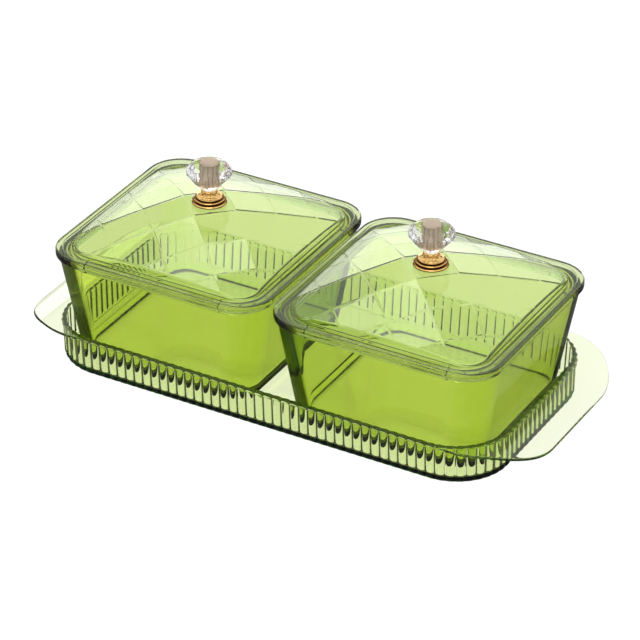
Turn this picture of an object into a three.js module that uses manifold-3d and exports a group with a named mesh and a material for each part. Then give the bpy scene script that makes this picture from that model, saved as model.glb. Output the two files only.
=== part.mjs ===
// Covered server: a fluted serving tray that carries two square bowls side by side. Each bowl has
// a lift-off lid with a faceted dome and a crystal knob on a stepped metal base. The base is held
// by a screw and a washer from inside the lid.
// Millimetres, +Z up, +X along the tray. The origin is the centre of the tray's underside.

import * as THREE from 'three';
import { mergeVertices } from 'three/addons/utils/BufferGeometryUtils.js';
import Module from 'manifold-3d';

// Clearance left between pieces that rest on each other.
const GAP = 0.3;

// Tray: a tapered, fluted wall round a flat floor, under a thin flange that grows into two ears.
const TRAY_FOOT = { halfX: 162.9, halfY: 81.5, radius: 38 };
const TRAY_FLARE = { x: 0.4, y: 2.0 };
const TRAY_HEIGHT = 27.5;
const TRAY_FLOOR = 2.6;
const TRAY_WALL = 2.4;
const FLUTE_COUNT = 140;
const FLUTE_DEPTH = 1.1;
const FLANGE = { halfX: 190, halfY: 85.0, radius: 50 };
const FLANGE_THICKNESS = 1.8;
const EAR_START = 158;
const EAR_DROOP = 9.4;
const EAR_CURVE = 2.0;
const EAR_STEPS = 8;

// Bowls: rounded squares that narrow towards the foot.
const BOWL_CENTRE_X = 82.1;
const BOWL_TOP = { half: 77.9, radius: 22.0 };
const BOWL_FOOT = { half: 66.3, radius: 17.0 };
const BOWL_WALL = 3.2;
const BOWL_CORNER_FILL = 2.0;
const BOWL_FLOOR = 2.8;
const BOWL_FOOT_Z = TRAY_FLOOR + GAP;
const BOWL_TOP_Z = 75.9;
const BOWL_FOOT_ROUND = 3.0;
const BOWL_INNER_ROUND = 6.0;

// Lids: a flat rim, a locating lip that drops into the bowl, and a dome of flat diamond facets.
const LID_HALF = 80.2;
const LID_RADIUS = 24.2;
const LID_Z = BOWL_TOP_Z + GAP;
const LID_RIM_HEIGHT = 5.8;
const LID_RIM_EDGE = 1.4;
const LID_RIM_BEAD = 4.0;
const LID_RIM_STEP = 0.9;
const LID_WALL = 2.2;
const LIP_HALF = 73.9;
const LIP_RADIUS = 23.5;
const LIP_DEPTH = 4.5;
const LIP_WALL = 2.0;
const DOME_HALF = 70.0;
const DOME_RADIUS = 16.0;
const DOME_HEIGHT = 21.0;

// The dome's creases run along both diagonals. FACET_PITCH is half the spacing of the creases in
// x + y and x - y; DOME_DROP is how far the dome has fallen at each crease and past the last one.
const FACET_PITCH = 19.6;
const DOME_CREASES = [1, 3, 5, 8];
const DOME_DROP = [0, 6.5, 14.0, 27.8];

// Knob: a stepped base, given as radius and height pairs, and an eight-sided crystal.
const KNOB_BASE_PROFILE = [
  [11.8, 0.0],
  [11.8, 1.7],
  [10.9, 2.2],
  [10.5, 3.4],
  [9.0, 3.9],
  [8.6, 5.0],
  [6.4, 5.6],
  [5.6, 7.2],
  [6.0, 8.6],
  [5.0, 9.2],
];
const KNOB_SIDES = 32;
const CRYSTAL_SIDES = 8;
const CRYSTAL_LEVELS = [
  { radius: 4.6, z: 0.0, turned: false },
  { radius: 11.6, z: 7.6, turned: true },
  { radius: 15.3, z: 12.6, turned: false },
  { radius: 15.3, z: 14.2, turned: false },
  { radius: 11.4, z: 18.3, turned: true },
  { radius: 6.6, z: 20.9, turned: false },
];

// Screw and washer that hold the knob from inside the lid.
const SCREW_RADIUS = 1.7;
const SCREW_REACH = 6.0;
const SCREW_HEAD = { radius: 3.6, height: 1.8 };
const SCREW_SLOT = { width: 0.9, depth: 0.8 };
const HOLE_RADIUS = SCREW_RADIUS + GAP;
const WASHER = { radius: 6.0, height: 0.9 };

const CORNER_STEPS = 8;

const clearGreen = { color: 0xa8d05a, roughness: 0.05, metalness: 0, transparent: true };
const MATERIALS = {
  tray: new THREE.MeshStandardMaterial({ ...clearGreen, color: 0xdff2d0, opacity: 0.35 }),
  bowl: new THREE.MeshStandardMaterial({ ...clearGreen, opacity: 0.45 }),
  lid: new THREE.MeshStandardMaterial({ ...clearGreen, color: 0xc4e69a, opacity: 0.4 }),
  gold: new THREE.MeshStandardMaterial({ color: 0xd99a3a, roughness: 0.2, metalness: 1 }),
  crystal: new THREE.MeshStandardMaterial({ color: 0xf4f1ec, roughness: 0.02, opacity: 0.4,
    transparent: true }),
  washer: new THREE.MeshStandardMaterial({ color: 0xeef4e6, roughness: 0.3 }),
};

const wasm = await Module();
wasm.setup();

// A closed geometry as a manifold solid, and back.
function toSolid(geometry) {
  const bare = geometry.clone();
  bare.deleteAttribute('normal');
  bare.deleteAttribute('uv');
  const merged = mergeVertices(bare, 1e-4);
  return new wasm.Manifold(new wasm.Mesh({
    numProp: 3,
    vertProperties: new Float32Array(merged.attributes.position.array),
    triVerts: new Uint32Array(merged.index.array),
  }));
}

function toGeometry(solid) {
  const { vertProperties, triVerts } = solid.getMesh();
  const geometry = new THREE.BufferGeometry();
  geometry.setAttribute('position', new THREE.BufferAttribute(vertProperties, 3));
  geometry.setIndex(new THREE.BufferAttribute(triVerts, 1));
  geometry.computeVertexNormals();
  return geometry;
}

// A closed path: a rounded rectangle, counter-clockwise from the middle of its +X side.
function roundedRectangle(halfX, halfY, radius) {
  const path = new THREE.Path();
  const x = halfX - radius;
  const y = halfY - radius;
  const quarter = Math.PI / 2;
  path.moveTo(halfX, 0);
  path.lineTo(halfX, y);
  path.absarc(x, y, radius, 0, quarter);
  path.lineTo(-x, halfY);
  path.absarc(-x, y, radius, quarter, 2 * quarter);
  path.lineTo(-halfX, -y);
  path.absarc(-x, -y, radius, 2 * quarter, 3 * quarter);
  path.lineTo(x, -halfY);
  path.absarc(x, -y, radius, 3 * quarter, 4 * quarter);
  path.lineTo(halfX, 0);
  return path;
}

// The same outline as a ring of points at height z, with arcs cut into CORNER_STEPS chords.
function cornerRing(halfX, halfY, radius, z) {
  const ring = [];
  for (let corner = 0; corner < 4; corner += 1) {
    const signX = corner === 0 || corner === 3 ? 1 : -1;
    const signY = corner < 2 ? 1 : -1;
    for (let step = 0; step <= CORNER_STEPS; step += 1) {
      const angle = (corner + step / CORNER_STEPS) * Math.PI / 2;
      const x = signX * (halfX - radius) + radius * Math.cos(angle);
      const y = signY * (halfY - radius) + radius * Math.sin(angle);
      ring.push(new THREE.Vector3(x, y, z));
    }
  }
  return ring;
}

function squareRing(half, radius, z) {
  return cornerRing(half, half, radius, z);
}

// A closed body skinned through rings of equal length, given from the lowest up.
function loft(rings) {
  const count = rings[0].length;
  const index = [];
  for (let level = 0; level + 1 < rings.length; level += 1) {
    for (let i = 0; i < count; i += 1) {
      const next = (i + 1) % count;
      const low = level * count;
      const high = low + count;
      index.push(low + i, low + next, high + next);
      index.push(low + i, high + next, high + i);
    }
  }
  const last = (rings.length - 1) * count;
  const foot = rings[0].map((point) => new THREE.Vector2(point.x, point.y));
  const head = rings[rings.length - 1].map((point) => new THREE.Vector2(point.x, point.y));
  for (const [a, b, c] of THREE.ShapeUtils.triangulateShape(foot, [])) {
    index.push(c, b, a);
  }
  for (const [a, b, c] of THREE.ShapeUtils.triangulateShape(head, [])) {
    index.push(last + a, last + b, last + c);
  }
  const geometry = new THREE.BufferGeometry().setFromPoints(rings.flat());
  geometry.setIndex(index);
  return toSolid(geometry);
}

// One ring of the tray's wall. Every second point is set back by depth, which makes the flutes.
function trayRing(z, inset, depth) {
  const path = roundedRectangle(TRAY_FOOT.halfX, TRAY_FOOT.halfY, TRAY_FOOT.radius);
  const count = FLUTE_COUNT * 2;
  const share = z / TRAY_HEIGHT;
  const ring = [];
  for (let i = 0; i < count; i += 1) {
    const point = path.getPointAt(i / count);
    const tangent = path.getTangentAt(i / count);
    const setBack = inset + (i % 2 === 0 ? 0 : depth);
    const x = point.x + tangent.y * (TRAY_FLARE.x * share - setBack);
    const y = point.y - tangent.x * (TRAY_FLARE.y * share - setBack);
    ring.push(new THREE.Vector3(x, y, z));
  }
  return ring;
}

// The flange is a plate, level over the wall, whose ends curve down into the ears.
function flangePlate() {
  const overshoot = 4;
  const top = [];
  for (let step = 0; step <= EAR_STEPS; step += 1) {
    const share = step / EAR_STEPS;
    const x = EAR_START + (FLANGE.halfX + overshoot - EAR_START) * share;
    const along = (x - EAR_START) / (FLANGE.halfX - EAR_START);
    top.push([x, TRAY_HEIGHT - EAR_DROOP * along ** EAR_CURVE]);
  }
  const mirrored = top.map(([x, z]) => [-x, z]).reverse();
  const upper = [...mirrored, ...top];
  const lower = upper.map(([x, z]) => [x, z - FLANGE_THICKNESS]).reverse();
  const shape = new THREE.Shape([...upper, ...lower].map(([x, z]) => new THREE.Vector2(x, z)));
  const depth = 2 * (FLANGE.halfY + overshoot);
  const sheet = new THREE.ExtrudeGeometry(shape, { depth, bevelEnabled: false });
  sheet.translate(0, 0, -depth / 2);
  sheet.rotateX(Math.PI / 2);
  const outline = [0, 2 * TRAY_HEIGHT].map((z) => (
    cornerRing(FLANGE.halfX, FLANGE.halfY, FLANGE.radius, z)));
  return toSolid(sheet).intersect(loft(outline));
}

function trayGeometry() {
  const wall = loft([trayRing(0, 0.8, 0), trayRing(1.2, 0, FLUTE_DEPTH),
    trayRing(TRAY_HEIGHT - FLANGE_THICKNESS / 2, 0, FLUTE_DEPTH)]);
  const hollow = loft([
    cornerRing(TRAY_FOOT.halfX - TRAY_WALL, TRAY_FOOT.halfY - TRAY_WALL,
      TRAY_FOOT.radius - TRAY_WALL, TRAY_FLOOR),
    cornerRing(TRAY_FOOT.halfX + 2 * TRAY_FLARE.x - TRAY_WALL,
      TRAY_FOOT.halfY + 2 * TRAY_FLARE.y - TRAY_WALL,
      TRAY_FOOT.radius + TRAY_FLARE.x + TRAY_FLARE.y - TRAY_WALL, 2 * TRAY_HEIGHT)]);
  return toGeometry(wall.add(flangePlate()).subtract(hollow));
}

// Half-width and corner radius of the bowl's outer face at height z.
function bowlSize(z) {
  const share = (z - BOWL_FOOT_Z) / (BOWL_TOP_Z - BOWL_FOOT_Z);
  return {
    half: THREE.MathUtils.lerp(BOWL_FOOT.half, BOWL_TOP.half, share),
    radius: THREE.MathUtils.lerp(BOWL_FOOT.radius, BOWL_TOP.radius, share),
  };
}

function bowlRing(z, inset) {
  const { half, radius } = bowlSize(z);
  return squareRing(half - inset, radius - inset, z);
}

// The inside's corners are rounder than the outside's, which makes the bowl thicker there.
function hollowRing(z, inset) {
  const { half, radius } = bowlSize(z);
  return squareRing(half - BOWL_WALL - inset, radius + BOWL_CORNER_FILL - inset, z);
}

function bowlGeometry() {
  const outer = loft([
    bowlRing(BOWL_FOOT_Z, BOWL_FOOT_ROUND),
    bowlRing(BOWL_FOOT_Z + 0.3 * BOWL_FOOT_ROUND, 0.3 * BOWL_FOOT_ROUND),
    bowlRing(BOWL_FOOT_Z + BOWL_FOOT_ROUND, 0),
    bowlRing(BOWL_TOP_Z, 0)]);
  const floorZ = BOWL_FOOT_Z + BOWL_FLOOR;
  const hollow = loft([
    hollowRing(floorZ, BOWL_INNER_ROUND),
    hollowRing(floorZ + 0.3 * BOWL_INNER_ROUND, 0.3 * BOWL_INNER_ROUND),
    hollowRing(floorZ + BOWL_INNER_ROUND, 0),
    hollowRing(BOWL_TOP_Z + 5, 0)]);
  return toGeometry(outer.subtract(hollow));
}

// How far the dome has fallen at distance u from its middle, along one diagonal.
function creaseHeights() {
  const places = DOME_CREASES.map((crease, i) => [crease * FACET_PITCH, DOME_DROP[i]]);
  const mirrored = places.map(([u, drop]) => [-u, drop]).reverse();
  return [...mirrored, ...places];
}

// A block whose top is the dome: the drops along the two diagonals add up, so that every facet
// between the creases is flat. It reaches down past the rim, and is trimmed afterwards.
function facetedBlock(topZ, bottomZ) {
  const creases = creaseHeights();
  const side = creases.length;
  const points = [];
  for (const bottom of [false, true]) {
    for (const [u, dropU] of creases) {
      for (const [v, dropV] of creases) {
        const z = bottom ? bottomZ : topZ - dropU - dropV;
        points.push(new THREE.Vector3((u - v) / 2, (u + v) / 2, z));
      }
    }
  }
  const index = [];
  const quad = (a, b, c, d) => index.push(a, b, c, a, c, d);
  const layer = side * side;
  for (let i = 0; i + 1 < side; i += 1) {
    for (let j = 0; j + 1 < side; j += 1) {
      const at = i * side + j;
      quad(at, at + side, at + side + 1, at + 1);
      quad(layer + at, layer + at + 1, layer + at + side + 1, layer + at + side);
    }
    const edges = [[i * side, (i + 1) * side], [(i + 1) * side + side - 1, i * side + side - 1],
      [i + 1, i], [layer - side + i, layer - side + i + 1]];
    for (const [from, to] of edges) {
      quad(layer + from, layer + to, to, from);
    }
  }
  const geometry = new THREE.BufferGeometry().setFromPoints(points);
  geometry.setIndex(index);
  return toSolid(geometry);
}

// The rim's top is a raised bead round the edge, then a flat step up to the dome.
function lidRim() {
  const top = LID_Z + LID_RIM_HEIGHT;
  const slab = loft([
    squareRing(LID_HALF - LID_RIM_EDGE, LID_RADIUS - LID_RIM_EDGE, LID_Z),
    squareRing(LID_HALF, LID_RADIUS, LID_Z + LID_RIM_EDGE),
    squareRing(LID_HALF, LID_RADIUS, top - LID_RIM_EDGE),
    squareRing(LID_HALF - LID_RIM_EDGE, LID_RADIUS - LID_RIM_EDGE, top)]);
  const inset = LID_RIM_BEAD;
  const recess = loft([
    squareRing(LID_HALF - inset - 0.4, LID_RADIUS - inset - 0.4, top - LID_RIM_STEP),
    squareRing(LID_HALF - inset, LID_RADIUS - inset, top + 1)]);
  return slab.subtract(recess);
}

function lidLip() {
  const low = LID_Z - LIP_DEPTH;
  const high = LID_Z + LID_WALL;
  return loft([squareRing(LIP_HALF - 1, LIP_RADIUS - 1, low), squareRing(LIP_HALF, LIP_RADIUS, high)]);
}

function lidGeometry() {
  const domeZ = LID_Z + LID_RIM_HEIGHT + DOME_HEIGHT;
  const outside = facetedBlock(domeZ, LID_Z)
    .intersect(loft([LID_Z, 2 * domeZ].map((z) => squareRing(DOME_HALF, DOME_RADIUS, z))));
  const inside = facetedBlock(domeZ - LID_WALL, LID_Z - 2 * LIP_DEPTH)
    .intersect(loft([LID_Z - 2 * LIP_DEPTH, 2 * domeZ].map((z) => (
      squareRing(DOME_HALF - LID_WALL, DOME_RADIUS - LID_WALL, z)))));
  const hole = new THREE.CylinderGeometry(HOLE_RADIUS, HOLE_RADIUS, 4 * LID_WALL, KNOB_SIDES / 2);
  hole.rotateX(Math.PI / 2);
  hole.translate(0, 0, domeZ);
  const lipHollow = loft([LID_Z - 2 * LIP_DEPTH, LID_Z].map((z) => (
    squareRing(LIP_HALF - LIP_WALL - 1, LIP_RADIUS - LIP_WALL - 1, z))));
  const solid = lidRim().add(lidLip()).add(outside).subtract(inside)
    .subtract(lipHollow).subtract(toSolid(hole));
  return toGeometry(solid);
}

// A solid of revolution about Z from [radius, z] pairs that start and end on the axis.
function turned(profile, sides) {
  const points = profile.map(([radius, z]) => new THREE.Vector2(radius, z));
  const geometry = new THREE.LatheGeometry(points, sides);
  geometry.rotateX(Math.PI / 2);
  return geometry;
}

function knobBaseGeometry() {
  const bore = SCREW_REACH + 2 * GAP;
  const top = KNOB_BASE_PROFILE[KNOB_BASE_PROFILE.length - 1][1];
  const profile = [[0, bore], [HOLE_RADIUS, bore], [HOLE_RADIUS, 0], ...KNOB_BASE_PROFILE, [0, top]];
  return turned(profile, KNOB_SIDES);
}

// The crystal's levels are polygons. Turned ones are half a side round from the others, so that
// the bands between them are cut into triangles.
function crystalGeometry() {
  const points = [];
  for (const { radius, z, turned: isTurned } of CRYSTAL_LEVELS) {
    for (let i = 0; i < CRYSTAL_SIDES; i += 1) {
      const angle = (i + (isTurned ? 0.5 : 0)) * 2 * Math.PI / CRYSTAL_SIDES;
      points.push(new THREE.Vector3(radius * Math.cos(angle), radius * Math.sin(angle), z));
    }
  }
  const index = [];
  for (let level = 0; level + 1 < CRYSTAL_LEVELS.length; level += 1) {
    const low = level * CRYSTAL_SIDES;
    const high = low + CRYSTAL_SIDES;
    const lean = CRYSTAL_LEVELS[level].turned ? 1 : 0;
    for (let i = 0; i < CRYSTAL_SIDES; i += 1) {
      const next = (i + 1) % CRYSTAL_SIDES;
      if (lean === 0) {
        index.push(low + i, low + next, high + i);
        index.push(low + next, high + next, high + i);
      } else {
        index.push(low + i, high + next, high + i);
        index.push(low + i, low + next, high + next);
      }
    }
  }
  const last = (CRYSTAL_LEVELS.length - 1) * CRYSTAL_SIDES;
  for (let i = 1; i + 1 < CRYSTAL_SIDES; i += 1) {
    index.push(0, i + 1, i);
    index.push(last, last + i, last + i + 1);
  }
  const geometry = new THREE.BufferGeometry().setFromPoints(points);
  geometry.setIndex(index);
  return toGeometry(toSolid(geometry));
}

// The screw points up from a slotted head, which is below z = 0.
function screwGeometry() {
  const { radius, height } = SCREW_HEAD;
  const reach = WASHER.height + GAP + LID_WALL + GAP + SCREW_REACH;
  const body = toSolid(turned([[0, -height], [0.7 * radius, -height], [radius, -0.4 * height],
    [radius, 0], [SCREW_RADIUS, 0], [SCREW_RADIUS, reach], [0, reach]], KNOB_SIDES / 2));
  const slot = new THREE.BoxGeometry(3 * radius, SCREW_SLOT.width, 2 * SCREW_SLOT.depth);
  slot.translate(0, 0, -height);
  return toGeometry(body.subtract(toSolid(slot)));
}

function washerGeometry() {
  return turned([[HOLE_RADIUS, 0], [WASHER.radius, 0], [WASHER.radius, WASHER.height],
    [HOLE_RADIUS, WASHER.height], [HOLE_RADIUS, 0]], KNOB_SIDES / 2);
}

function piece(name, geometry, material, z = 0) {
  const mesh = new THREE.Mesh(geometry, material);
  mesh.name = name;
  mesh.position.z = z;
  return mesh;
}

// One covered bowl, centred on its own Z axis.
function coveredBowl(side) {
  const group = new THREE.Group();
  const domeZ = LID_Z + LID_RIM_HEIGHT + DOME_HEIGHT;
  const baseZ = domeZ + GAP;
  const crystalZ = baseZ + KNOB_BASE_PROFILE[KNOB_BASE_PROFILE.length - 1][1] + GAP;
  const washerZ = domeZ - LID_WALL - GAP - WASHER.height;
  group.add(piece(`bowl_${side}`, bowlGeometry(), MATERIALS.bowl));
  group.add(piece(`lid_${side}`, lidGeometry(), MATERIALS.lid));
  group.add(piece(`knob_base_${side}`, knobBaseGeometry(), MATERIALS.gold, baseZ));
  group.add(piece(`knob_crystal_${side}`, crystalGeometry(), MATERIALS.crystal, crystalZ));
  group.add(piece(`knob_washer_${side}`, washerGeometry(), MATERIALS.washer, washerZ));
  group.add(piece(`knob_screw_${side}`, screwGeometry(), MATERIALS.gold, washerZ - GAP));
  return group;
}

const server = new THREE.Group();
server.add(piece('tray', trayGeometry(), MATERIALS.tray));
for (const [side, x] of [['left', -BOWL_CENTRE_X], ['right', BOWL_CENTRE_X]]) {
  const bowl = coveredBowl(side);
  bowl.position.x = x;
  server.add(bowl);
}

export default server;
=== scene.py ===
"""Looks for the covered server: clear green plastic tray, bowls and faceted lids, with
crystal knobs on gold bases. Every length is in metres, in the CAD model's frame."""

import math

import bmesh
import bpy
import numpy as np
from mathutils import Matrix, Vector


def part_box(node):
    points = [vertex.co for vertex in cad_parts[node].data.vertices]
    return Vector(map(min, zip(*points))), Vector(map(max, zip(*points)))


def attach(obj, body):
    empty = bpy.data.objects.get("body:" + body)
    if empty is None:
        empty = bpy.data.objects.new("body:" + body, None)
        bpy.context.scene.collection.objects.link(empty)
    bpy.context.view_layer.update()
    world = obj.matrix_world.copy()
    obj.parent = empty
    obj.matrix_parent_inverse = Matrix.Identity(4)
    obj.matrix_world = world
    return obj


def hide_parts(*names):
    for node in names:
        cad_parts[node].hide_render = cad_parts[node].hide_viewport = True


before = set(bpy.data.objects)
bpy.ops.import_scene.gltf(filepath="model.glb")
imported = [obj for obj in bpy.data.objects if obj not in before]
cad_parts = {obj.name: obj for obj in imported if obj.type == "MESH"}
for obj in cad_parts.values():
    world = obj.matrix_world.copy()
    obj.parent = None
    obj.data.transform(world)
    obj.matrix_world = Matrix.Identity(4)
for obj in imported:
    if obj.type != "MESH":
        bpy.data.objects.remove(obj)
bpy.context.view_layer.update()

MM = 0.001
SIDES = ("left", "right")

# Tray: half-length, half-width and height of the whole piece, from the frame
TRAY_TIP, TRAY_EDGE, TRAY_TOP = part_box("tray")[1]
# Half-length, half-width and corner radius of the wall at its foot, and how far it leans out
TRAY_FOOT = (162.9 * MM, 81.5 * MM, 38.0 * MM)
TRAY_FLARE = (0.4 * MM, 2.0 * MM)
TRAY_FLOOR = 2.6 * MM
TRAY_WALL = 2.4 * MM
TRAY_UNDER_INSETS = (8.0 * MM, 3.0 * MM, 2.4 * MM)
TRAY_FOOT_INSET = 2.0 * MM
TRAY_FOOT_ROUND = 3.0 * MM
TRAY_OUTER_LEVELS = (3.6 * MM, 9.0 * MM, 17.0 * MM, 24.0 * MM)
TRAY_RIM_ROUND = 0.9 * MM
TRAY_INNER_LEVELS = (24.0 * MM, 17.0 * MM, 10.0 * MM, 6.2 * MM)
TRAY_INNER_ROUND = 3.0 * MM
TRAY_FLOOR_INSETS = (3.5 * MM, 9.0 * MM)
FLUTE_COUNT = 140
FLUTE_SAMPLES = 10
FLUTE_HALF_WIDTH = 3.2 * MM
FLUTE_DEPTH = 1.0 * MM
INNER_FLUTE_DEPTH = 0.8 * MM
INNER_FLUTE_STAND = 0.6 * MM
FLANGE_RADIUS = 50.0 * MM
FLANGE_THICKNESS = 1.8 * MM
FLANGE_CORNER = 0.3 * MM
FLANGE_STEPS = 10
FLANGE_EDGE_STEPS = 6
EAR_START = 158.0 * MM
EAR_DROOP = 9.4 * MM
EAR_CURVE = 2.0

# Bowls. The fill makes the inside's corners rounder than the outside's.
BOWL_TOP_RADIUS = 22.0 * MM
BOWL_FOOT_HALF = 66.3 * MM
BOWL_FOOT_RADIUS = 17.0 * MM
BOWL_WALL = 3.2 * MM
BOWL_CORNER_FILL = 0.6 * MM
BOWL_FLOOR = 2.8 * MM
BOWL_FOOT_ROUND = 3.0 * MM
BOWL_INNER_ROUND = 6.0 * MM
BOWL_RIM_ROUND = 1.1 * MM
BOWL_UNDER_INSET = 10.0 * MM
BOWL_FLOOR_INSET = 6.0 * MM

# Lids. The lip drops into the bowl. The creases lie along both diagonals, at these multiples of
# the pitch in x + y and x - y, and the drop is how far the dome has fallen at each of them.
LID_HALF = (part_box("lid_left")[1].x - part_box("lid_left")[0].x) / 2
LID_RADIUS = 24.2 * MM
LID_RIM_HEIGHT = 5.8 * MM
LID_RIM_EDGE = 1.4 * MM
LID_RIM_BEAD = 4.0 * MM
LID_RIM_STEP = 0.9 * MM
LID_WALL = 2.2 * MM
LIP_INSET = 6.3 * MM
LIP_DEPTH = 4.5 * MM
LIP_WALL = 2.0 * MM
LIP_RADIUS = 23.5 * MM
# How much smaller the corner radius is on the rim's underside beside the lip, and at its hollow
LIP_SQUARER = (1.5 * MM, 3.0 * MM)
LIP_CORNER = 0.3 * MM
# How far the lip's outside has come in where the round at its foot starts, and just above that
LIP_LEAN = 0.65 * MM
LIP_LEAN_STEP = 0.05 * MM
LIP_TAPER = 1.0 * MM
LIP_FOOT_ROUND = 0.8 * MM
LIP_FOOT_WIDTH = 0.75 * MM
LIP_EDGE = 0.6 * MM
# Width of each of the two rounds on the inner side of the rim's bead
BEAD_ROUND = 0.5 * MM
DOME_HALF = 70.0 * MM
FACET_PITCH = 19.6 * MM
DOME_CREASES = (1, 3, 5, 8)
DOME_DROP = (0.0, 6.5 * MM, 14.0 * MM, 27.8 * MM)
CREASE_ROUND = 0.35 * MM
FACET_BORDER = 0.7 * MM
DOME_FILLET = 0.8 * MM
DOME_FILLET_LEAST = 0.05 * MM
DOME_FILLET_SHARE = 0.4
DOME_FILLET_STEPS = 4
DOME_RADIUS = 16.0 * MM
HOLE_RADIUS = 2.0 * MM
HOLE_BORDER = 1.3
# Smallest fold, in degrees, that counts as a crease
CREASE_LEAST = 2.0
MERGE_DISTANCE = 0.002 * MM

# Knobs. The base's profile holds radius, height, the steps to the next point, and whether the way
# there is hollow: it rises first, then spreads. The crystal's levels hold radius, height, number
# of corners and turn in corners. Both are in millimetres.
KNOB_SIDES = 96
NOTCH_COUNT = 8
NOTCH_DEPTH = 1.1
NOTCH_SHARPNESS = 1.6
NOTCH_START = 5.6
NOTCH_RUN = 1.2
KNOB_PROFILE = (
    (10.9, 0.0, 3, False),
    (11.7, 0.3, 5, True),
    (11.8, 1.1, 5, False),
    (11.2, 1.8, 4, False),
    (9.3, 2.0, 3, False),
    (9.1, 2.3, 3, False),
    (10.2, 2.6, 4, True),
    (10.3, 3.2, 4, False),
    (9.7, 3.7, 3, False),
    (7.9, 3.8, 3, False),
    (7.8, 4.1, 3, False),
    (8.7, 4.4, 4, True),
    (8.6, 5.0, 4, False),
    (7.0, 5.5, 5, False),
    (5.9, 6.4, 5, False),
    (5.3, 7.6, 5, False),
    (5.6, 8.6, 4, False),
    (5.2, 9.2, 2, False),
    (4.0, 9.2, 1, False),
)
# Heights of the knob base's grooves, and the half-width and colour of the painted shade in them
GROOVES = (2.1 * MM, 3.9 * MM)
GROOVE_HALF = 0.25 * MM
GROOVE_PAINTED_SHADE = (0.20, 0.09, 0.02)
CRYSTAL_EDGE = 0.12 * MM
# Faces of the stone that meet at less than this many degrees become one
CRYSTAL_FLAT = 0.8
CRYSTAL_LEVELS = (
    (4.6, 0.0, 8, 0.0),
    (11.6, 7.2, 8, 0.5),
    (15.3, 12.2, 16, 0.0),
    (15.3, 14.2, 16, 0.0),
    (12.4, 17.4, 16, 0.5),
    (5.7, 20.9, 8, 0.0),
)
# The socket under the stone, its stripes all round, which are painted light and shade in place of
# flutes, and the gilding of its upper part: inside what radius and above what depth it is, its
# light and dark colours (the gilding, and the painted shade of the stripes), and how metallic it is
SOCKET_INSET = 0.3 * MM
SOCKET_DEPTH = 19.2 * MM
SOCKET_FLARE = 1.5
SOCKET_STRIPES = 12
GILDED_RADIUS = 6.8 * MM
GILDED_START = 7.0 * MM
GILDING_AND_FLUTE_SHADE = ((0.98, 0.78, 0.57), (0.64, 0.46, 0.34))
GILDING_METAL = 0.1

# Share of red, green and blue light that one millimetre of each plastic lets through
TRAY_PER_MM = (0.958, 0.980, 0.865)
BOWL_PER_MM = (0.931, 0.958, 0.743)
LID_PER_MM = (0.962, 0.964, 0.90)
# Pairs of surface tints, which the slow noise mixes
LID_TINTS = ((0.85, 0.98, 0.84), (0.88, 0.99, 0.87))
CLEAR_TINTS = ((1.0, 1.0, 1.0), (0.985, 0.99, 0.98))
# The absorption's density is the largest loss times this, so that no part of its colour is black
ABSORPTION_SPREAD = 1.5

# Scale and detail of the slow and the fine noise on plastic and on metal. On metal the scale of
# the fine noise is a multiple of the slow one's. Then the height of the metals' fine bumps.
PLASTIC_SLOW = (26, 2)
PLASTIC_FINE = (900, 3)
METAL_SLOW_DETAIL = 3
METAL_FINE = (14, 4)
METAL_BUMP = 0.004 * MM

# World: brightness at and above the horizon, the elevations between which it climbs, and soft
# boxes as azimuth, elevation, half-width, half-height (degrees) and strength
WORLD_LOW = 0.06
WORLD_HIGH = 0.9
WORLD_CLIMB = (6, 30)
SOFT_BOXES = (
    (-142, 6, 8, 12, 1.7),
    (-163, 8, 10, 14, 1.0),
    (-135, 63, 25, 5.5, 1.9),
    (15, 62, 40, 10, 1.2),
)
SOFT_BOX_EDGE = 2

# Floor: half-width, drop below the object, whiteness, glow seen directly, glow in reflections
# close to the middle and far from it, and the distances between which that changes (metres)
FLOOR_HALF = 8.0
FLOOR_GAP = 0.2 * MM
FLOOR_WHITE = 0.12
FLOOR_GLOW = 0.97
FLOOR_GLOW_REFLECTED = (0.08, 1.6)
FLOOR_REACH = (0.45, 0.9)

LIGHT_BOUNCES = 40
INDIRECT_LIMIT = 6

# Camera: azimuth, elevation and roll in degrees, lens and sensor in millimetres, the rest in
# metres or shares of the frame
CAMERA_ANGLES = (28.91, 30.73, 0.572)
CAMERA_LENS = 203.55
CAMERA_SHIFT = (0.00345, -0.00565)
CAMERA_DISTANCE = 2374.3 * MM
CAMERA_TARGET = Vector((0, 0, 40 * MM))
CAMERA_SENSOR = 36
CAMERA_CLIP = (0.1, 60)

# Steps of a corner's arc, and the short straights beside rounds, which keep their shading from
# spreading over the flats
CORNER_STEPS = 18
HOLD = 0.5 * MM
WIDE_HOLD = 0.4 * MM
RIM_HOLD = 0.3 * MM
NARROW_HOLD = 0.2 * MM

# Slack for comparing lengths in metres, and angles in radians
TINY = 1e-8
ANGLE_SLACK = 1e-5


# ---------------------------------------------------------------- outlines and skins

def rounded_outline(half_x, half_y, radius, crossings=()):
    """Points and outward normals of a rounded rectangle, counter-clockwise from +X. Each
    straight holds a point beside each arc, and one at each of the crossings."""
    points, normals = [], []
    for corner in range(4):
        turn = corner * math.pi / 2
        sign_x = 1 if corner in (0, 3) else -1
        sign_y = 1 if corner < 2 else -1
        centre = np.array((sign_x * (half_x - radius), sign_y * (half_y - radius)))
        normal = np.array((math.cos(turn), math.sin(turn)))
        tangent = np.array((-normal[1], normal[0]))
        half = (half_y if corner % 2 == 0 else half_x) - radius
        side = centre + radius * normal - half * tangent
        for along in sorted([-half + HOLD, *crossings, half - HOLD]):
            points.append(side + along * tangent)
            normals.append(normal)
        for step in range(CORNER_STEPS + 1):
            angle = turn + math.pi / 2 * step / CORNER_STEPS
            normal = np.array((math.cos(angle), math.sin(angle)))
            points.append(centre + radius * normal)
            normals.append(normal)
    return np.array(points), np.array(normals)


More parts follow.
